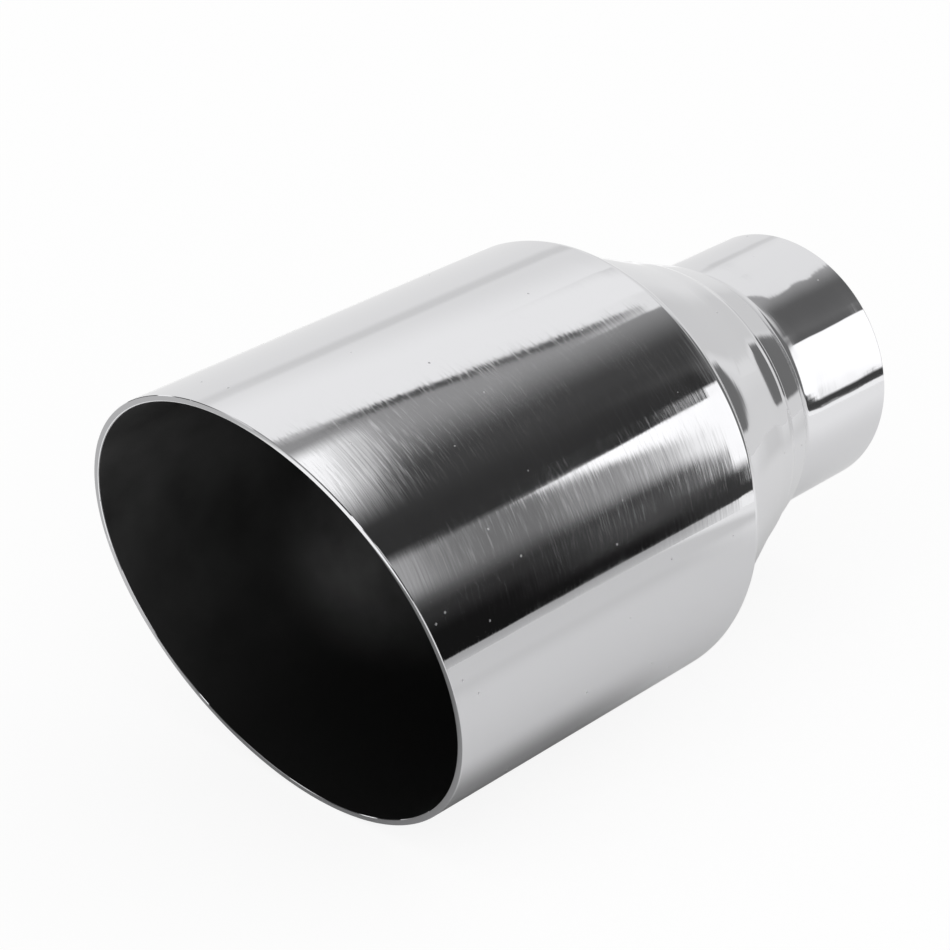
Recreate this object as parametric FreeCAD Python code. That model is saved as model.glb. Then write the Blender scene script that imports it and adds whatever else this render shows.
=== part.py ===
"""Exhaust tip of polished stainless sheet: a slant-cut outlet barrel with its rear edge rolled in, a spun
reducing cone and a straight inlet neck, butt welded end to end and ground flush.

The axis lies along Y. The inlet end face is at y = 0 and the mouth faces -Y. Z is up, and the long side of
the slanted mouth is on top. Lengths are in millimetres and angles in degrees. A bend's radius is given on
its hollow side, as a sheet metal worker gives it."""
import FreeCAD, Part
import math
import os
from FreeCAD import Vector

# Outlet barrel
barrel_diameter = 101.6         # outside, a 4 inch outlet
length_top = 177.8              # 7 inches from the inlet face to the top of the mouth
slant_drop = 25.4               # the lowest point of the mouth lies this much further back
rim_break = 0.3                 # chamfer that takes the sharpness off the mouth's two edges
wall = 1.5                      # sheet thickness of all three pieces

# Rolled rear edge of the barrel
shoulder_to_inlet = 73.8        # from the inlet face to where the barrel starts to curl in
roll_bend = 1.6
roll_turn = 84.0                # how far the edge is curled towards the axis

# Reducing cone, from the barrel's weld to the neck: a ground band, a shallow belly, the main slope, a
# shallow waist, a short lip and a flatter collar that steps down to the neck
band_length = 2.3
band_slope = 29.0
belly_length = 6.8
belly_slope = 19.4
waist_length = 6.0
waist_slope = 19.7
lip_length = 2.0
lip_slope = 27.5
collar_length = 7.6
collar_slope = 19.0
collar_step = 2.35              # height of the collar's end above the neck
step_slope = 42.0
neck_sweep = 4.8                # hollow curve from the step into the neck

# Inlet neck
neck_bore = 57.8                # slips over a 2.25 inch pipe, which measures 57.15
neck_length = 28.2
inlet_break = 0.3               # chamfer round the outside of the sawn inlet end


def fall(slope, length):
    """Drop towards the axis over a length along Y."""
    return length * math.tan(math.radians(slope))


def tangent_length(radius, turn):
    """Distance from a corner to the point where its rounding starts."""
    return radius * math.tan(math.radians(turn / 2))


def shoulder_corners():
    """The barrel's outside down to the crease, where its rolled edge meets the cone."""
    barrel_r = barrel_diameter / 2
    roll_r = roll_bend + wall
    turn = math.radians(roll_turn)
    crease = (roll_r * math.sin(turn) - shoulder_to_inlet, barrel_r - roll_r * (1 - math.cos(turn)))
    return {
        "mouth": (-length_top, barrel_r),
        "roll": (tangent_length(roll_r, roll_turn) - shoulder_to_inlet, barrel_r),
        "crease": crease,
    }


def cone_corners(crease):
    """The cone's outside between the crease and the neck. The main slope closes what the other sizes leave."""
    band = (crease[0] + band_length, crease[1] - fall(band_slope, band_length))
    belly = (band[0] + belly_length, band[1] - fall(belly_slope, belly_length))
    neck_r = neck_bore / 2 + wall
    sweep = (-neck_length - tangent_length(neck_sweep, step_slope), neck_r)
    collar_end = (sweep[0] - collar_step / math.tan(math.radians(step_slope)), neck_r + collar_step)
    collar = (collar_end[0] - collar_length, collar_end[1] + fall(collar_slope, collar_length))
    lip = (collar[0] - lip_length, collar[1] + fall(lip_slope, lip_length))
    waist = (lip[0] - waist_length, lip[1] + fall(waist_slope, waist_length))
    return {
        "band_end": band,
        "belly_end": belly,
        "waist_start": waist,
        "lip_start": lip,
        "collar_start": collar,
        "collar_end": collar_end,
        "sweep": sweep,
        "neck_seam": (-neck_length, neck_r),
        "inlet": (0.0, neck_r),
    }


def offset_inwards(corners, depth):
    """Corners of the line that runs this depth inside, measured square to the outside."""
    places = list(corners.values())
    lines = []
    for (y0, r0), (y1, r1) in zip(places, places[1:]):
        length = math.hypot(y1 - y0, r1 - r0)
        step_y = (y1 - y0) / length
        step_r = (r1 - r0) / length
        lines.append((y0 + depth * step_r, r0 - depth * step_y, step_y, step_r))
    inner = [(places[0][0], lines[0][1])]
    for (ya, ra, uy, ur), (yb, rb, vy, vr), corner in zip(lines, lines[1:], places[1:]):
        cross = uy * vr - ur * vy
        if abs(cross) < 1e-9:
            inner.append((corner[0] + depth * ur, corner[1] - depth * uy))
        else:
            along = ((yb - ya) * vr - (rb - ra) * vy) / cross
            inner.append((ya + along * uy, ra + along * ur))
    inner.append((places[-1][0], lines[-1][1]))
    return dict(zip(corners, inner))


def bend_at(name):
    """Radius on the hollow side of the bend at a corner, or nothing where the corner is a crease or a seam."""
    bends = {"roll": roll_bend, "sweep": neck_sweep}
    return bends.get(name)


def straight(start, end):
    """A straight edge, or none where a bend ends right at the next corner."""
    if start.distanceToPoint(end) < 1e-6:
        return []
    return [Part.LineSegment(start, end).toShape()]


def rounded_line(corners, names, hollow_below):
    """Edges through the named corners, with an arc at each bend. hollow_below tells which side is rounded
    with the bare bend radius: True for the inside of the sheet, False for its outside."""
    edges = []
    start = Vector(0, *corners[names[0]])
    for before, name, after in zip(names, names[1:], names[2:]):
        corner = Vector(0, *corners[name])
        back = (Vector(0, *corners[before]) - corner).normalize()
        ahead = (Vector(0, *corners[after]) - corner).normalize()
        bend = bend_at(name)
        if bend is None:
            edges += straight(start, corner)
            start = corner
            continue
        falls_more = (back + ahead).z < 0
        radius = bend if falls_more == hollow_below else bend + wall
        half = back.getAngle(ahead) / 2
        reach = radius / math.tan(half)
        middle = corner + (back + ahead).normalize() * (radius / math.sin(half) - radius)
        edges += straight(start, corner + back * reach)
        edges.append(Part.Arc(corner + back * reach, middle, corner + ahead * reach).toShape())
        start = corner + ahead * reach
    return edges + straight(start, Vector(0, *corners[names[-1]]))


def revolved_sheet(outside, inside, first, last):
    """The sheet between two corners, turned about the axis. Its ends run from outside corner to inside corner."""
    names = list(outside)
    names = names[names.index(first):names.index(last) + 1]
    edges = rounded_line(outside, names, False) + rounded_line(inside, names, True)
    for end in (first, last):
        edges += straight(Vector(0, *outside[end]), Vector(0, *inside[end]))
    section = Part.Face(Part.Wire(Part.__sortEdges__(edges)))
    return section.revolve(Vector(0, 0, 0), Vector(0, 1, 0), 360)


def slant_cutter():
    """Everything in front of the slanted mouth plane."""
    spread = 2 * barrel_diameter
    lean = slant_drop / barrel_diameter
    top_y = -length_top - lean * (spread - barrel_diameter / 2)
    bottom_y = -length_top + lean * (spread + barrel_diameter / 2)
    front_y = -2 * length_top - spread
    corners = [(top_y, spread), (bottom_y, -spread), (front_y, -spread), (front_y, spread)]
    outline = Part.makePolygon([Vector(-spread, y, z) for y, z in corners + corners[:1]])
    return Part.Face(outline).extrude(Vector(2 * spread, 0, 0))


def edges_on_plane(shape, point, normal):
    """Edges that lie in a plane all along."""
    found = []
    for edge in shape.Edges:
        samples = edge.discretize(7)
        if max(abs((sample - point).dot(normal)) for sample in samples) < 1e-4:
            found.append(edge)
    return found


def outlet_barrel(outside, inside):
    tube = revolved_sheet(outside, inside, "mouth", "crease")
    cut = tube.cut(slant_cutter())
    top = Vector(0, -length_top, barrel_diameter / 2)
    bottom = Vector(0, -length_top + slant_drop, -barrel_diameter / 2)
    normal = (bottom - top).cross(Vector(1, 0, 0)).normalize()
    return cut.makeChamfer(rim_break, edges_on_plane(cut, top, normal))


def reducer_cone(outside, inside):
    return revolved_sheet(outside, inside, "crease", "neck_seam")


def inlet_neck(outside, inside):
    tube = revolved_sheet(outside, inside, "neck_seam", "inlet")
    end_edges = edges_on_plane(tube, Vector(0, 0, 0), Vector(0, 1, 0))
    outer_edge = max(end_edges, key=lambda edge: edge.Length)
    return tube.makeChamfer(inlet_break, [outer_edge])


def build():
    """The three pieces by name."""
    corners = shoulder_corners()
    corners.update(cone_corners(corners["crease"]))
    inner = offset_inwards(corners, wall)
    return {
        "outlet_barrel": outlet_barrel(corners, inner),
        "reducer_cone": reducer_cone(corners, inner),
        "inlet_neck": inlet_neck(corners, inner),
    }


def main():
    os.makedirs("parts", exist_ok=True)
    for name, shape in build().items():
        shape.exportStep("parts/" + name + ".step")
        print(name, "solids", len(shape.Solids), "valid", shape.isValid(), "volume", round(shape.Volume, 1))


main()
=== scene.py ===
# %% [markdown]
# # A slant-cut exhaust tip
# The object is a car's exhaust tip: a wide barrel with a slanted mouth, a spun cone and a narrow neck that
# slips over the tailpipe. All three are 1.5 mm stainless sheet, welded end to end, ground flush and polished
# like a mirror. The inside of the barrel and the cone is coated satin black.
#
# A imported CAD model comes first, as the frame. It fixes the size and the place of everything that follows.

# %% Load the frame
import bpy
import math
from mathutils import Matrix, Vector


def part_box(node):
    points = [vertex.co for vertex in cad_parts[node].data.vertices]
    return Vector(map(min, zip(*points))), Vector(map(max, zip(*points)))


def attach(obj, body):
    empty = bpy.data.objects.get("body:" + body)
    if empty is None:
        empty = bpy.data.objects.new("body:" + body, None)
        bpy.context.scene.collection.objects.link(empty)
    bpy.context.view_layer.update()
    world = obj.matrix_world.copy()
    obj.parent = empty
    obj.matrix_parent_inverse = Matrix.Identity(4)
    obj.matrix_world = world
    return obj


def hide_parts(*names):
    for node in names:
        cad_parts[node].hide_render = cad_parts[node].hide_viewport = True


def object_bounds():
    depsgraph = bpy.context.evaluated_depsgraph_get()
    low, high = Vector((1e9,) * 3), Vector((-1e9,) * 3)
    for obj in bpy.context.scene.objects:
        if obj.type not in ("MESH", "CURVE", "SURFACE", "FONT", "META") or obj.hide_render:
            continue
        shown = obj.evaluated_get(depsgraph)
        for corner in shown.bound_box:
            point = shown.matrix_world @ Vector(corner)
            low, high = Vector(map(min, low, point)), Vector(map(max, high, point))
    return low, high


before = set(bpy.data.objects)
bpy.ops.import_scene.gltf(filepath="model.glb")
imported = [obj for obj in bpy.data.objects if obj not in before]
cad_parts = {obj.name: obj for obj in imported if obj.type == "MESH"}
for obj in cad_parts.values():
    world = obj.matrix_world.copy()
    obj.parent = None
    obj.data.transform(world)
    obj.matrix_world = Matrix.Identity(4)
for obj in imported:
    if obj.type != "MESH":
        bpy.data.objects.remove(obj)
cad_low, cad_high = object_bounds()
print(len(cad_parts), "CAD nodes")
print("CAD box in mm:", [round(1000 * v, 2) for v in cad_low], [round(1000 * v, 2) for v in cad_high])

# %% [markdown]
# ## The camera
# The photograph looks down on the mouth from its right side with a long lens. A long lens keeps the near rim
# and the far neck at nearly one scale, as in the picture. Three angles could turn the camera, but a line of
# sight is easier to picture. It is turned into a rotation, because a camera looks along its own -Z with Y up.

# %% Place the camera
camera = bpy.data.objects.new("camera", bpy.data.cameras.new("camera"))
bpy.context.collection.objects.link(camera)
line_of_sight = Vector((-0.6031, 0.6508, -0.4611))
camera.location = (0.38872, -0.52484, 0.30632)
camera.rotation_euler = line_of_sight.to_track_quat("-Z", "Y").to_euler()
camera.data.lens = 115.48
camera.data.sensor_width = 36.0
camera.data.clip_start = 0.01
bpy.context.scene.camera = camera
bpy.context.scene.view_settings.view_transform = "Standard"
print("camera looks from", [round(v, 3) for v in camera.location])

# %% [markdown]
# ## The section of the sheet
# The real pieces are rolled or spun from sheet, so each is one section turned about the axis. The section can
# be built as a stack of extruded rings, or drawn once as a flat line and spun. The line is shorter to write,
# and every bend is then one bevelled corner.
#
# Places are in millimetres: y along the axis, with the inlet at 0 and the mouth at -177.8, and the radius.
# The line runs past the mouth, because the slant is cut later. The inside runs one sheet's thickness within
# the outside, measured square to it.

# %% The corners of the sheet, outside and inside
MM = 0.001
SHEET = 1.5
barrel_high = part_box("outlet_barrel")[1]
barrel_radius = barrel_high.z / MM
outside = {
    "mouth": (-185.0, barrel_radius),
    "lead": (-78.0, barrel_radius),
    "roll": (-71.01, barrel_radius - 0.05),
    "crease": (-70.72, 48.02),
    "band_end": (-68.42, 46.75),
    "belly_end": (-61.60, 44.20),
    "waist_start": (-48.25, 38.56),
    "lip_start": (-42.25, 36.41),
    "collar_start": (-40.25, 35.37),
    "collar_end": (-32.65, 32.75),
    "sweep": (-30.10, 30.58),
    "neck_seam": (-28.20, 30.50),
    "flare_end": (-25.80, 30.40),
    "inlet": (0.0, 30.40),
}
inside = {
    "mouth": (-185.0, barrel_radius - SHEET),
    "lead": (-78.0, barrel_radius - SHEET),
    "roll": (-72.36, barrel_radius - SHEET - 0.05),
    "crease": (-72.13, 47.09),
    "band_end": (-69.03, 45.38),
    "belly_end": (-62.16, 42.80),
    "waist_start": (-48.80, 37.16),
    "lip_start": (-42.85, 35.03),
    "collar_start": (-40.85, 33.98),
    "collar_end": (-33.43, 31.43),
    "sweep": (-30.62, 28.90),
    "neck_seam": (-28.20, 28.90),
    "flare_end": (-25.80, 28.90),
    "inlet": (0.0, 28.90),
}
print("barrel", round(2 * barrel_radius, 2), "mm wide, neck bore", 2 * inside["inlet"][1], "mm")


# %% Pick points of the line
# points this near a place, in metres, are taken to lie on it
SLACK = 1e-6


def select_points(piece, places):
    """Selects the points of a line that lie at these places, given in millimetres."""
    bpy.context.tool_settings.mesh_select_mode = (True, False, False)
    for edge in piece.data.edges:
        edge.select = False
    for point in piece.data.vertices:
        near = [p for p in places if (point.co - Vector((0, p[0], p[1])) * MM).length < 2 * SLACK]
        point.select = bool(near)


# %% Draw a closed line through corners
def draw_section(name, corners):
    """A closed line in the plane x = 0. It starts as a plane merged to one point, which is then extruded."""
    bpy.context.tool_settings.mesh_select_mode = (True, False, False)
    bpy.ops.object.select_all(action="DESELECT")
    bpy.ops.mesh.primitive_plane_add(size=1 * MM)
    piece = bpy.context.active_object
    piece.name = piece.data.name = name
    bpy.ops.object.mode_set(mode="EDIT")
    bpy.ops.mesh.select_all(action="SELECT")
    bpy.ops.mesh.merge(type="CENTER")
    start = Vector((0, corners[0][0], corners[0][1])) * MM
    bpy.ops.transform.translate(value=start)
    for before, after in zip(corners, corners[1:]):
        step = Vector((0, after[0] - before[0], after[1] - before[1])) * MM
        bpy.ops.mesh.extrude_vertices_move(TRANSFORM_OT_translate={"value": step})
    bpy.ops.object.mode_set(mode="OBJECT")
    select_points(piece, [corners[0], corners[-1]])
    bpy.ops.object.mode_set(mode="EDIT")
    bpy.ops.mesh.edge_face_add()
    bpy.ops.object.mode_set(mode="OBJECT")
    return piece


# %% Round a corner of the line
def round_corner(piece, corners, index, radius, segments):
    """Bevels one corner of the line. A bend of this radius leaves each side at its tangent length."""
    corner = Vector(corners[index])
    back = (Vector(corners[index - 1]) - corner).normalized()
    ahead = (Vector(corners[index + 1]) - corner).normalized()
    half_turn = (math.pi - back.angle(ahead)) / 2
    select_points(piece, [corners[index]])
    bpy.ops.object.mode_set(mode="EDIT")
    bpy.ops.mesh.bevel(offset=radius * math.tan(half_turn) * MM, offset_type="OFFSET", segments=segments,
                       affect="VERTICES", profile=0.5, clamp_overlap=False)
    bpy.ops.object.mode_set(mode="OBJECT")


# %% Spin the line into a sheet
ROUND_STEPS = 288


def spin_about_axis(piece):
    """Turns the closed line once round the axis, merges the seam and points the faces outwards."""
    bpy.ops.object.mode_set(mode="EDIT")
    bpy.ops.mesh.select_all(action="SELECT")
    bpy.ops.mesh.spin(steps=ROUND_STEPS, angle=2 * math.pi, center=(0, 0, 0), axis=(0, 1, 0))
    bpy.ops.mesh.select_all(action="SELECT")
    bpy.ops.mesh.remove_doubles(threshold=SLACK)
    bpy.ops.mesh.normals_make_consistent(inside=False)
    bpy.ops.object.mode_set(mode="OBJECT")


def turned_sheet(name, first, last, bends):
    """One piece of sheet between two named corners. bends gives, for each bent corner, the radius on the
    outside, the radius on the inside and the number of segments."""
    names = list(outside)
    names = names[names.index(first):names.index(last) + 1]
    corners = [outside[n] for n in names] + [inside[n] for n in reversed(names)]
    piece = draw_section(name, corners)
    for bent, (outer, inner, segments) in bends.items():
        round_corner(piece, corners, names.index(bent), outer, segments)
        round_corner(piece, corners, 2 * len(names) - 1 - names.index(bent), inner, segments)
    spin_about_axis(piece)
    print(name, len(piece.data.polygons), "faces")
    return piece


# %% [markdown]
# ## The barrel
# The tube is rolled to a 4 inch outside, and its rear edge is curled in through 84 degrees to meet the cone.
# It is spun longer than it is and then cut along the slant, as the real tube is sawn. A boolean with a box
# would cut it too, but bisect needs only a point and a direction, and leaves no stray faces. The cut leaves
# two open rings, which are bridged to give the sheet its edge, and the sharpness is taken off both sides.
#
# The last stretch of the wall leans in by five hundredths of a millimetre, which is enough to bend the
# reflections towards the curl, as in the photograph.

# %% Spin the barrel and cut its mouth
barrel = turned_sheet("slant_cut_barrel", "mouth", "crease", {
    "lead": (150.0, 150.0, 6),
    "roll": (3.1, 1.6, 14),
})
length_top = 177.8
slant_drop = 25.4
mouth_top = Vector((0, -length_top, barrel_radius)) * MM
mouth_normal = Vector((0, -2 * barrel_radius, -slant_drop)).normalized()
bpy.ops.object.mode_set(mode="EDIT")
bpy.ops.mesh.select_all(action="SELECT")
bpy.ops.mesh.bisect(plane_co=mouth_top, plane_no=mouth_normal, clear_outer=True, use_fill=False)
bpy.ops.mesh.select_mode(type="EDGE")
bpy.ops.mesh.select_all(action="DESELECT")
bpy.ops.mesh.select_non_manifold()
bpy.ops.mesh.bridge_edge_loops()
bpy.ops.object.mode_set(mode="OBJECT")
print("mouth cut,", len(barrel.data.polygons), "faces left")


# %% Pick a ring of edges
def select_edges(piece, wanted):
    """Selects the edges whose two ends both pass a test, and counts them."""
    bpy.context.tool_settings.mesh_select_mode = (False, True, False)
    for face in piece.data.polygons:
        face.select = False
    good = [wanted(point.co) for point in piece.data.vertices]
    for point in piece.data.vertices:
        point.select = False
    for edge in piece.data.edges:
        edge.select = good[edge.vertices[0]] and good[edge.vertices[1]]
    picked = [edge for edge in piece.data.edges if edge.select]
    for edge in picked:
        for end in edge.vertices:
            piece.data.vertices[end].select = True
    return len(picked)


def on_ring(point, off_plane, radius):
    """True for a point on the ring's plane, given its distance off it, and at this radius in millimetres."""
    return abs(off_plane) < SLACK and abs(math.hypot(point.x, point.z) - radius * MM) < 10 * SLACK


# %% Take the sharpness off the rim
EDGE_BREAK = 0.3


def break_edge(piece, wanted):
    """Rounds off the ring of edges that passes a test."""
    count = select_edges(piece, wanted)
    bpy.ops.object.mode_set(mode="EDIT")
    bpy.ops.mesh.bevel(offset=EDGE_BREAK * MM, offset_type="OFFSET", segments=3, affect="EDGES", profile=0.5)
    bpy.ops.object.mode_set(mode="OBJECT")
    print(piece.name, "ring of", count, "edges rounded")


for rim_radius in (barrel_radius, barrel_radius - SHEET):
    break_edge(barrel, lambda point: on_ring(point, (point - mouth_top).dot(mouth_normal), rim_radius))

# %% [markdown]
# ## The cone and the neck
# The cone is spun over a former. From the barrel's weld it has a ground band, a shallow belly, the main
# slope, a waist, a short lip and a flatter collar that steps down into a hollow sweep. The light creases
# between these are not sharp on the real cone: polishing rounds them, and each catches a thin line of light.
# A tube scaled ring by ring would give the outside as well, but a spun section keeps the wall true inside.
#
# The neck is plain tube, with a trace of a flare where it is welded on. The outer edge of its sawn end is
# broken.

# %% Spin the cone
cone = turned_sheet("spun_cone", "crease", "neck_seam", {
    "band_end": (1.2, 1.0, 4),
    "belly_end": (220.0, 218.0, 16),
    "waist_start": (70.0, 71.5, 12),
    "lip_start": (14.0, 12.5, 6),
    "collar_start": (3.0, 4.5, 5),
    "collar_end": (2.0, 0.6, 6),
    "sweep": (4.6, 6.1, 12),
})

# %% Spin the neck and break its sawn edge
neck = turned_sheet("straight_neck", "neck_seam", "inlet", {"flare_end": (110.0, 110.0, 6)})
break_edge(neck, lambda point: on_ring(point, point.y, outside["inlet"][1]))

# %% [markdown]
# ## Smooth shading
# A mirror shows every facet, so the faces are shaded smooth, except across the sharp seams. More rings of
# faces would hide the facets too, but it would take very many. Weighted normals make the long straight walls
# stay straight right up to a bend, as rolled sheet does.

# %% Shade the pieces
for piece in (barrel, cone, neck):
    bpy.ops.object.select_all(action="DESELECT")
    piece.select_set(True)
    bpy.context.view_layer.objects.active = piece
    bpy.ops.object.shade_smooth_by_angle(angle=math.radians(28))
    weighted = piece.modifiers.new("even walls", "WEIGHTED_NORMAL")
    weighted.keep_sharp = True
    weighted.weight = 100
    bpy.ops.object.modifier_apply(modifier="even walls")
    print(piece.name, "shaded, modifiers left:", len(piece.modifiers))


# %% [markdown]
# ## Colours and nodes
# Colours are written as the eye sees them, as sRGB hex, and one function turns them to the linear values that
# Cycles works in. One more function adds a node, so that each material below reads as a short list.
#
# A pattern's scale says how many times it repeats in a metre. It is written here as a number to the
# millimetre, which can be checked against the real part.

# %% Colour and node helpers
PER_MM = 1000.0


def linear(hex_colour):
    """Linear red, green, blue and alpha of a colour such as #808080."""
    parts = [int(hex_colour[i:i + 2], 16) / 255 for i in (1, 3, 5)]
    return [c / 12.92 if c <= 0.04045 else ((c + 0.055) / 1.055) ** 2.4 for c in parts] + [1.0]


def add_node(tree, kind, sockets=None, **settings):
    """Adds a node, sets its settings and fills its sockets with values or with other nodes' outputs."""
    node = tree.nodes.new(kind)
    for name, value in settings.items():
        setattr(node, name, value)
    for key, value in (sockets or {}).items():
        if isinstance(value, bpy.types.NodeSocket):
            tree.links.new(value, node.inputs[key])
        else:
            node.inputs[key].default_value = value
    return node


def new_material(name):
    """A material and its empty node tree."""
    material = bpy.data.materials.new(name)
    material.use_nodes = True
    material.node_tree.nodes.clear()
    return material, material.node_tree


print("#808080 in linear light:", round(linear("#808080")[0], 3))

# %% [markdown]
# ## Polished stainless steel
# 304 stainless, buffed to a mirror with wheels that run round the tip. Buffing leaves fine lines round the
# axis, so a reflection stays crisp across the lines and smears along the axis. That is anisotropy, with its
# direction taken round the axis from the Object coordinates. A picture of scratches could give the strokes,
# but it would repeat. Here they are noise stretched round the axis, which stays put on the metal. On the real
# part they are a few hundredths of a millimetre apart, and here 0.4 to 0.8 mm, as fine as the picture shows.
#
# Three more things make the polish look used. The barrel has hairlines, which scatter a little light over the
# dark reflections. There are a few pits, dull specks of half a millimetre. The cone and the neck are a little
# wavy from spinning, where the rolled barrel is nearly true.

# %% How rough the polish is
steel, tree = new_material("mirror_polished_304_stainless")
place = add_node(tree, "ShaderNodeTexCoord").outputs["Object"]
along = add_node(tree, "ShaderNodeSeparateXYZ", {0: place}).outputs["Y"]
patches = add_node(tree, "ShaderNodeTexNoise", {"Vector": place, "Scale": 0.045 * PER_MM, "Detail": 1.0})
scuffed = add_node(tree, "ShaderNodeMapRange", {
    "Value": patches.outputs["Fac"], "From Min": 0.35, "From Max": 0.7, "To Min": 0.025, "To Max": 0.055})
pits = add_node(tree, "ShaderNodeTexVoronoi", {"Vector": place, "Scale": 0.15 * PER_MM})
pitted = add_node(tree, "ShaderNodeMapRange", {
    "Value": pits.outputs["Distance"], "From Min": 0.03, "From Max": 0.05, "To Min": 0.5, "To Max": 0.0})
barrel_only = add_node(tree, "ShaderNodeMapRange", {
    "Value": along, "From Min": -78 * MM, "From Max": -68 * MM, "To Min": 0.055, "To Max": 0.0})
hair_place = add_node(tree, "ShaderNodeMapping", {
    "Vector": place, "Scale": (0.22 * PER_MM, 2.6 * PER_MM, 0.22 * PER_MM)})
hair = add_node(tree, "ShaderNodeTexNoise", {"Vector": hair_place.outputs[0], "Scale": 1.0, "Detail": 1.0})
hairlines = add_node(tree, "ShaderNodeMapRange", {
    "Value": hair.outputs["Fac"], "From Min": 0.5, "From Max": 0.8, "To Min": 0.0,
    "To Max": barrel_only.outputs[0]})
worn = add_node(tree, "ShaderNodeMath", {0: scuffed.outputs[0], 1: pitted.outputs[0]}, operation="ADD")
worn = add_node(tree, "ShaderNodeMath", {0: worn.outputs[0], 1: hairlines.outputs[0]}, operation="ADD")
print("roughness made of", len(tree.nodes), "nodes")

# %% Strokes, waves and the steel itself
round_axis = add_node(tree, "ShaderNodeVectorMath", {0: (0.0, 1.0, 0.0), 1: place},
                      operation="CROSS_PRODUCT")
strokes_place = add_node(tree, "ShaderNodeMapping", {
    "Vector": place, "Scale": (0.075 * PER_MM, 1.3 * PER_MM, 0.075 * PER_MM)})
strokes = add_node(tree, "ShaderNodeTexNoise", {
    "Vector": strokes_place.outputs[0], "Scale": 1.0, "Detail": 2.0})
stroke_bump = add_node(tree, "ShaderNodeBump", {
    "Height": strokes.outputs["Fac"], "Strength": 0.03, "Distance": 0.1 * MM})
waves = add_node(tree, "ShaderNodeTexNoise", {"Vector": place, "Scale": 0.042 * PER_MM, "Detail": 2.0})
wave_height = add_node(tree, "ShaderNodeMapRange", {
    "Value": along, "From Min": -70 * MM, "From Max": -30 * MM, "To Min": 0.08, "To Max": 0.36})
swell = add_node(tree, "ShaderNodeMath", {0: waves.outputs["Fac"], 1: wave_height.outputs[0]},
                 operation="MULTIPLY")
bump = add_node(tree, "ShaderNodeBump", {
    "Height": swell.outputs[0], "Strength": 1.0, "Distance": 0.5 * MM, "Normal": stroke_bump.outputs[0]})
polish = add_node(tree, "ShaderNodeBsdfPrincipled", {
    "Base Color": linear("#e4e4e6"), "Metallic": 1.0, "Roughness": worn.outputs[0], "Anisotropic": 0.8,
    "Anisotropic Rotation": 0.25, "Tangent": round_axis.outputs[0], "Normal": bump.outputs[0]})
add_node(tree, "ShaderNodeOutputMaterial", {"Surface": polish.outputs[0]})
print(steel.name, "has", len(tree.nodes), "nodes")

# %% [markdown]
# ## Satin black coating
# A heat-proof paint sprayed into the barrel and the cone. It could be a thin shell of its own, but a film of
# paint adds no shape, so it is a second material on the inner faces. It is nearly black with a low satin
# sheen, and the spray leaves a very fine grain. Painted light makes the upper half a little paler and
# cloudier, which is a gradient on height times a noise. A painted highlight makes one spot low on the left
# wall paler still.

# %% Cloudy black, with its painted light and a painted highlight
coating, tree = new_material("satin_black_heatproof_coating")
place = add_node(tree, "ShaderNodeTexCoord").outputs["Object"]
cloud = add_node(tree, "ShaderNodeTexNoise", {"Vector": place, "Scale": 0.06 * PER_MM, "Detail": 3.0})
height = add_node(tree, "ShaderNodeSeparateXYZ", {0: place}).outputs["Z"]
# painted light: the coating is made paler towards the top
painted_light_upwards = add_node(tree, "ShaderNodeMapRange", {
    "Value": height, "From Min": -43 * MM, "From Max": 20 * MM})
# a random cloudy tone, times the painted light from above
mottle_and_painted_light = add_node(tree, "ShaderNodeMath", {0: cloud.outputs["Fac"], 1: painted_light_upwards.outputs[0]},
                   operation="MULTIPLY")
black = add_node(tree, "ShaderNodeMix", {
    "Factor": mottle_and_painted_light.outputs[0], 6: linear("#141414"), 7: linear("#505050")}, data_type="RGBA")
# a painted highlight: a pale patch low on the left wall, where light glows on the satin paint
painted_highlight_at = (-40 * MM, -95 * MM, -30 * MM)
to_spot = add_node(tree, "ShaderNodeVectorMath", {0: place, 1: painted_highlight_at}, operation="DISTANCE")
spot = add_node(tree, "ShaderNodeMapRange", {
    "Value": to_spot.outputs["Value"], "From Min": 0.0, "From Max": 32 * MM, "To Min": 0.9, "To Max": 0.0},
    interpolation_type="SMOOTHSTEP")
painted_highlight = add_node(tree, "ShaderNodeMath", {0: spot.outputs[0], 1: cloud.outputs["Fac"]},
                  operation="MULTIPLY")
black = add_node(tree, "ShaderNodeMix", {
    "Factor": painted_highlight.outputs[0], 6: black.outputs[2], 7: linear("#8c8c8c")}, data_type="RGBA")
print("black made of", len(tree.nodes), "nodes")

# %% Spray grain and the coating itself
grain = add_node(tree, "ShaderNodeTexNoise", {"Vector": place, "Scale": 2.5 * PER_MM, "Detail": 1.0})
grain_bump = add_node(tree, "ShaderNodeBump", {
    "Height": grain.outputs["Fac"], "Strength": 0.15, "Distance": 0.1 * MM})
paint = add_node(tree, "ShaderNodeBsdfPrincipled", {
    "Base Color": black.outputs[2], "Roughness": 0.5, "Specular IOR Level": 0.25,
    "Normal": grain_bump.outputs[0]})
add_node(tree, "ShaderNodeOutputMaterial", {"Surface": paint.outputs[0]})
print(coating.name, "has", len(tree.nodes), "nodes")


# %% Give each face its finish
def is_coated(face):
    """True behind the rim, for a face that looks at the axis, or at the mouth from inside the curled edge."""
    outward = Vector((face.center.x, 0, face.center.z)).normalized()
    looks_in = face.normal.dot(outward) < -0.4
    in_the_curl = face.normal.y < -0.2 and face.center.y > -80 * MM
    behind_rim = (face.center - mouth_top).dot(mouth_normal) < -0.1 * MM
    return (looks_in or in_the_curl) and behind_rim


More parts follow.
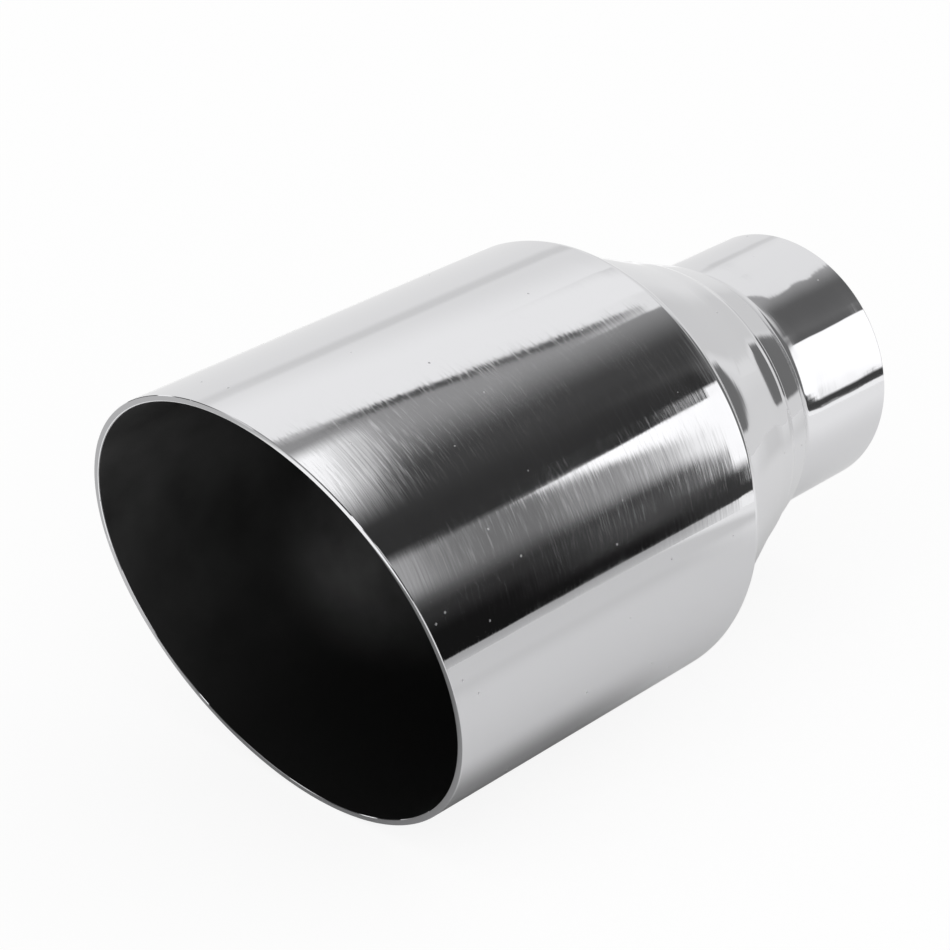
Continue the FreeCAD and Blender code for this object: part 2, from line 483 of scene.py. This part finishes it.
def coat_inside(piece):
    """Steel all over, then the coating on the inside."""
    piece.data.materials.append(steel)
    piece.data.materials.append(coating)
    bpy.context.tool_settings.mesh_select_mode = (False, False, True)
    for point in piece.data.vertices:
        point.select = False
    for edge in piece.data.edges:
        edge.select = False
    for face in piece.data.polygons:
        face.select = is_coated(face)
    bpy.ops.object.select_all(action="DESELECT")
    bpy.context.view_layer.objects.active = piece
    bpy.ops.object.mode_set(mode="EDIT")
    piece.active_material_index = 1
    bpy.ops.object.material_slot_assign()
    bpy.ops.object.mode_set(mode="OBJECT")
    print(piece.name, "coated faces:", sum(face.material_index for face in piece.data.polygons))


coat_inside(barrel)
coat_inside(cone)
neck.data.materials.append(steel)

# %% Tie the pieces to the frame
for piece, node in ((barrel, "outlet_barrel"), (cone, "reducer_cone"), (neck, "inlet_neck")):
    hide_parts(node)
    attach(piece, "root")
    print(piece.name, "stands for", node)

# %% [markdown]
# ## The floor
# A plain white sheet under the tip. The camera sees it nearly white with a soft shadow. Polished metal would
# mirror it white right up to the horizon, which hides the shape. So in the polish it is a pale grey table
# that ends a hand's length away, with painted shadows and painted pools of light on it, where the flags over
# it would cast them.

# %% Lay the floor
bpy.ops.object.select_all(action="DESELECT")
bpy.ops.mesh.primitive_plane_add(size=8.0, location=(0, 0, cad_low.z))
floor = bpy.context.active_object
floor.name = "floor"
paper, tree = new_material("white_paper_sweep")
place = add_node(tree, "ShaderNodeTexCoord").outputs["Object"]
floor_place = add_node(tree, "ShaderNodeSeparateXYZ", {0: place})
print("floor at", round(cad_low.z / MM, 2), "mm")

# %% Painted shade and light that the polish sees on the table
# each painted tone, a shadow where darker and a pool of light where paler, fades in from the first x to the
# second and from the first y to the second, in millimetres
# painted shadows under the tip and painted pools of light further out, seen only by the polish
painted_table_light_and_shade = [
    ("#d2d2d2", {"X": (105, 150), "Y": (60, 10)}),
    ("#ececec", {"X": (-60, 0), "Y": (-15, 30)}),
    ("#ffffff", {"X": (45, 110), "Y": (0, 60)}),
    ("#dadada", {"X": (70, 30), "Y": (85, 130)}),
    ("#dcdcdc", {"X": (125, 150), "Y": (65, 40)}),
    ("#a8a8a8", {"X": (56, 34), "Y": (-62, -108)}),
    ("#8c8c8c", {"X": (24, 6), "Y": (-150, -172)}),
    ("#dcdcdc", {"X": (-30, -75), "Y": (-100, -140)}),
]
mirrored = linear("#e2e2e2")
for grey, fades in painted_table_light_and_shade:
    there = 1.0
    for axis, (start, end) in fades.items():
        fade = add_node(tree, "ShaderNodeMapRange", {
            "Value": floor_place.outputs[axis], "From Min": start * MM, "From Max": end * MM},
            interpolation_type="SMOOTHSTEP")
        there = add_node(tree, "ShaderNodeMath", {0: there, 1: fade.outputs[0]},
                         operation="MULTIPLY").outputs[0]
    mirrored = add_node(tree, "ShaderNodeMix", {"Factor": there, 6: mirrored, 7: linear(grey)},
                        data_type="RGBA").outputs[2]
print(len(painted_table_light_and_shade), "tones on the table")

# %% What the camera sees of the floor, and where the table ends
TABLE_REACH = 210 * MM
ray = add_node(tree, "ShaderNodeLightPath")
tone = add_node(tree, "ShaderNodeMix", {
    "Factor": ray.outputs["Is Glossy Ray"], 6: linear("#fbfbfb"), 7: mirrored}, data_type="RGBA")
sheet = add_node(tree, "ShaderNodeBsdfDiffuse", {"Color": tone.outputs[2]})
glow = add_node(tree, "ShaderNodeEmission", {"Color": (1.0, 1.0, 1.0, 1.0), "Strength": 1.0})
lit = add_node(tree, "ShaderNodeMath", {0: ray.outputs["Is Camera Ray"], 1: 0.88}, operation="MULTIPLY")
seen = add_node(tree, "ShaderNodeMixShader", {
    "Fac": lit.outputs[0], 1: sheet.outputs[0], 2: glow.outputs[0]})
from_tip = add_node(tree, "ShaderNodeVectorMath", {0: place}, operation="LENGTH")
beyond = add_node(tree, "ShaderNodeMath", {0: from_tip.outputs["Value"], 1: TABLE_REACH},
                  operation="GREATER_THAN")
cut = add_node(tree, "ShaderNodeMath", {0: beyond.outputs[0], 1: ray.outputs["Is Glossy Ray"]},
               operation="MULTIPLY")
clear = add_node(tree, "ShaderNodeBsdfTransparent")
table = add_node(tree, "ShaderNodeMixShader", {
    "Fac": cut.outputs[0], 1: seen.outputs[0], 2: clear.outputs[0]})
add_node(tree, "ShaderNodeOutputMaterial", {"Surface": table.outputs[0]})
floor.data.materials.append(paper)
print(paper.name, "has", len(tree.nodes), "nodes")

# %% [markdown]
# ## The studio
# A mirror has no colour of its own: what the eye reads as polished steel is the room around it. The room
# could be built from lamps and cards, but each of them would have to be placed by trial. Here it is a pale
# tent with dark flags and white softboxes, painted on the sky by direction, which puts an edge exactly where
# the polish should show it. It is described in the tip's own polar angles. psi runs round the axis from
# straight up towards the right side, and off is the angle from the axis at the inlet. az and el are the
# compass and the height of a direction.
#
# Only glossy rays see this room. The camera sees white, and diffuse rays see a plain dome that is brighter on
# the right and above, so the floor and the coating are lit softly from that side.

# %% Angles of a direction
world = bpy.data.worlds.new("studio")
bpy.context.scene.world = world
world.use_nodes = True
sky = world.node_tree
sky.nodes.clear()
towards = add_node(sky, "ShaderNodeTexCoord").outputs["Generated"]
to_x, to_y, to_z = add_node(sky, "ShaderNodeSeparateXYZ", {0: towards}).outputs
to_front = add_node(sky, "ShaderNodeMath", {0: to_y, 1: -1.0}, operation="MULTIPLY").outputs[0]
angles = {}
for name, operation, parts in (("psi", "ARCTAN2", {0: to_x, 1: to_z}), ("off", "ARCCOSINE", {0: to_y}),
                               ("az", "ARCTAN2", {0: to_x, 1: to_front}), ("el", "ARCSINE", {0: to_z})):
    radians = add_node(sky, "ShaderNodeMath", parts, operation=operation)
    angles[name] = add_node(sky, "ShaderNodeMath", {0: radians.outputs[0]}, operation="DEGREES").outputs[0]
# az measured along a line that leans half a degree for each degree of height
angles["rake"] = add_node(sky, "ShaderNodeMath", {0: angles["el"], 1: -0.5, 2: angles["az"]},
                          operation="MULTIPLY_ADD").outputs[0]
print("angles:", ", ".join(angles))


# %% Hang a panel in the studio
# the share of the light that the steel sends back
STEEL_RETURN = 0.78


def edge_mask(angle, low, low_soft, high, high_soft):
    """1 between two limits of an angle and 0 outside them, with each edge softened over its own width."""
    middle = (low + high) / 2
    turned = add_node(sky, "ShaderNodeMath", {0: angle, 1: middle}, operation="SUBTRACT")
    turned = add_node(sky, "ShaderNodeMath", {0: turned.outputs[0], 1: -180.0, 2: 180.0}, operation="WRAP")
    rise = add_node(sky, "ShaderNodeMapRange", {
        "Value": turned.outputs[0], "From Min": low - middle - low_soft / 2,
        "From Max": low - middle + low_soft / 2}, interpolation_type="SMOOTHSTEP")
    fall = add_node(sky, "ShaderNodeMapRange", {
        "Value": turned.outputs[0], "From Min": high - middle - high_soft / 2,
        "From Max": high - middle + high_soft / 2, "To Min": 1.0, "To Max": 0.0},
        interpolation_type="SMOOTHSTEP")
    return add_node(sky, "ShaderNodeMath", {0: rise.outputs[0], 1: fall.outputs[0]},
                    operation="MULTIPLY").outputs[0]


def strength_for(grey):
    """The strength of sky that the polish shows as this grey. 255 is white, and more is a hot spot."""
    shown = linear("#" + 3 * format(min(grey, 255), "02x"))[0]
    return shown / STEEL_RETURN * max(grey, 255) / 255


def hang(room, grey, lean=0.0, pivot=48.0, **limits):
    """Mixes a panel over the room so far. grey is how the panel looks in the polish. Each limit is (low,
    softness, high, softness) of one angle in degrees. lean slants the panel's psi edges by that much per
    degree of off, about the pivot."""
    mask = 1.0
    for name, edges in limits.items():
        angle = angles[name]
        if name == "psi" and lean:
            slant = add_node(sky, "ShaderNodeMath", {0: angles["off"], 1: -lean, 2: pivot * lean},
                             operation="MULTIPLY_ADD")
            angle = add_node(sky, "ShaderNodeMath", {0: angle, 1: slant.outputs[0]},
                             operation="ADD").outputs[0]
        mask = add_node(sky, "ShaderNodeMath", {0: mask, 1: edge_mask(angle, *edges)},
                        operation="MULTIPLY").outputs[0]
    return add_node(sky, "ShaderNodeMix", {"Factor": mask, 2: room, 3: strength_for(grey)},
                    data_type="FLOAT").outputs[0]


print("a panel that shows white has strength", round(strength_for(255), 3))

# %% Hang the tent and the flags
# from the photograph's side, the barrel mirrors what is further off the axis than this, and the neck the rest
SPLIT = (43.35, 0.3)
tent_and_flags = [
    # the ground beyond the table
    dict(grey=203, el=(-100, 4, -3, 6)),
    # the tent's left wall, with two seams
    dict(grey=213, psi=(-130, 6, -8, 6)),
    dict(grey=244, psi=(-140, 6, -116, 10), off=(20, 4, 80, 10)),
    dict(grey=198, psi=(-69, 6, -61.5, 4)),
    # the dark flag overhead and on the right, lighter where it hangs highest
    dict(grey=46, psi=(-34, 2, 106.5, 1.2), off=(*SPLIT, 190, 8)),
    dict(grey=62, psi=(-34, 2, 33, 22), off=(*SPLIT, 190, 8)),
    dict(grey=140, psi=(-34, 2, 9.5, 26), off=(*SPLIT, 190, 8)),
    dict(grey=78, psi=(-20, 2, -7.0, 2.8), off=(45.2, 0.8, 56, 3), lean=-2.4),
    dict(grey=160, psi=(-20, 2, -7.0, 2.8), off=(51.3, 1.0, 56, 3), lean=-2.4),
    dict(grey=108, psi=(55, 4, 76, 14), off=(*SPLIT, 190, 8)),
    dict(grey=20, psi=(88, 12, 106.5, 1.2), off=(*SPLIT, 190, 8)),
    dict(grey=66, psi=(80, 14, 98, 9), off=(*SPLIT, 48.4, 3.6)),
    dict(grey=96, psi=(78, 8, 91, 8), off=(*SPLIT, 46.2, 1.6)),
    dict(grey=54, psi=(94, 10, 106.4, 1.2), off=(*SPLIT, 46.2, 2.4)),
    # the left wall comes in front of the flag along a slanted edge
    dict(grey=229, psi=(-46, 28, -10.8, 1.8), off=(*SPLIT, 62, 8), lean=-2.4),
    dict(grey=221, psi=(-12, 3, 0.4, 2), off=(43.6, 0.6, 45.5, 2.2)),
    # a white board close to the mouth
    dict(grey=250, psi=(-9, 9, 24, 26), off=(51.3, 1.0, 58, 6)),
    dict(grey=158, psi=(54, 8, 72, 10), off=(51.0, 1.6, 58, 6)),
    # the same flag as the neck sees it, from further back
    dict(grey=88, psi=(-14, 4, 47.5, 1.2), off=(39.2, 1.2, *SPLIT)),
    dict(grey=146, psi=(-14, 4, 6, 20), off=(39.2, 1.2, *SPLIT)),
    dict(grey=221, psi=(-60, 20, 0, 1.8), off=(38, 3, *SPLIT), lean=4.5, pivot=42.75),
]
room = strength_for(210)
for panel in tent_and_flags:
    room = hang(room, **panel)
print(len(tent_and_flags), "panels for the tent and the flags")

# %% Hang the softbox and what stands below it
softbox_and_table = [
    # the big softbox on the right, and its spill on the flag
    dict(grey=156, psi=(58, 4, 77, 10), off=(*SPLIT, 47.4, 3.0)),
    dict(grey=226, psi=(58, 4, 77, 9), off=(*SPLIT, 46.0, 1.0)),
    dict(grey=262, el=(8, 8, 25.0, 0.6), az=(137.0, 1.2, 149, 4), off=(*SPLIT, 60, 4)),
    dict(grey=252, psi=(56, 6, 81, 8), off=(*SPLIT, 45.2, 0.5)),
    dict(grey=252, psi=(56, 6, 91, 8), off=(*SPLIT, 44.9, 0.4)),
    dict(grey=252, psi=(48.2, 2.4, 60, 4), off=(*SPLIT, 44.5, 0.3)),
    # the softbox as the neck sees it
    dict(grey=262, psi=(47.8, 1.6, 101.2, 3), az=(130, 2, 149, 4), off=(30, 4, *SPLIT)),
    dict(grey=250, psi=(38, 4, 60, 4), off=(32, 2, 40.2, 1.4)),
    # the dark gap under it and the bright table edge
    dict(grey=60, psi=(101.4, 3, 109.2, 1.6), off=(34, 6, *SPLIT)),
    dict(grey=60, psi=(98.0, 3, 109.2, 1.6), off=(32, 6, 41.0, 0.7)),
    dict(grey=60, psi=(94.0, 3, 109.2, 1.6), off=(32, 6, 39.8, 0.9)),
    dict(grey=238, psi=(109.4, 1.2, 128, 14), off=(34, 6, *SPLIT)),
    dict(grey=236, psi=(106.4, 0.8, 128, 14), off=(*SPLIT, 45.5, 1.6)),
    dict(grey=160, psi=(106.5, 1.2, 111.5, 9), off=(45.6, 1.6, 190, 8)),
]
for panel in softbox_and_table:
    room = hang(room, **panel)
print(len(softbox_and_table), "panels for the softbox and the table")

# %% Hang what the other sides show
other_sides = [
    # the softbox and a second flag carried on round the tip
    dict(grey=255, psi=(49, 1.2, 60, 3), off=(66, 10, 190, 8)),
    dict(grey=54, psi=(-97, 1.5, -52, 16), off=(66, 10, 190, 8)),
    dict(grey=250, psi=(-82, 1.5, -75, 3), off=(66, 10, 190, 8)),
    # a dark doorway behind, which the cone and the collar show, and a grey wall beside it
    dict(grey=197, az=(183, 3, 203, 12), el=(2, 4, 16, 8)),
    dict(grey=104, az=(149, 4, 182.5, 3), rake=(120, 1, 178, 1.2), el=(-8, 1.5, 32, 14)),
    # the grey ground in front of the mouth, which the rim shows
    dict(grey=172, psi=(-168, 10, -108, 10), off=(94, 8, 130, 8)),
    dict(grey=240, psi=(-160, 10, -136.4, 1.4), off=(94, 8, 130, 8)),
]
for panel in other_sides:
    room = hang(room, **panel)
print(len(other_sides), "panels for the other sides")

# %% Light the scene with the room
ray = add_node(sky, "ShaderNodeLightPath")
key_side = add_node(sky, "ShaderNodeVectorMath", {0: towards, 1: (0.62, -0.3, 0.72)},
                    operation="DOT_PRODUCT")
dome = add_node(sky, "ShaderNodeMapRange", {
    "Value": key_side.outputs["Value"], "From Min": -0.2, "To Min": 0.08, "To Max": 1.6})
plain = add_node(sky, "ShaderNodeMix", {"Factor": ray.outputs["Is Camera Ray"], 2: dome.outputs[0], 3: 1.0},
                 data_type="FLOAT")
white = (1.0, 1.0, 1.0, 1.0)
plain_sky = add_node(sky, "ShaderNodeBackground", {"Color": white, "Strength": plain.outputs[0]})
studio = add_node(sky, "ShaderNodeBackground", {"Color": white, "Strength": room})
shine = add_node(sky, "ShaderNodeMixShader", {
    "Fac": ray.outputs["Is Glossy Ray"], 1: plain_sky.outputs[0], 2: studio.outputs[0]})
add_node(sky, "ShaderNodeOutputWorld", {"Surface": shine.outputs[0]})
print(world.name, "has", len(sky.nodes), "nodes")
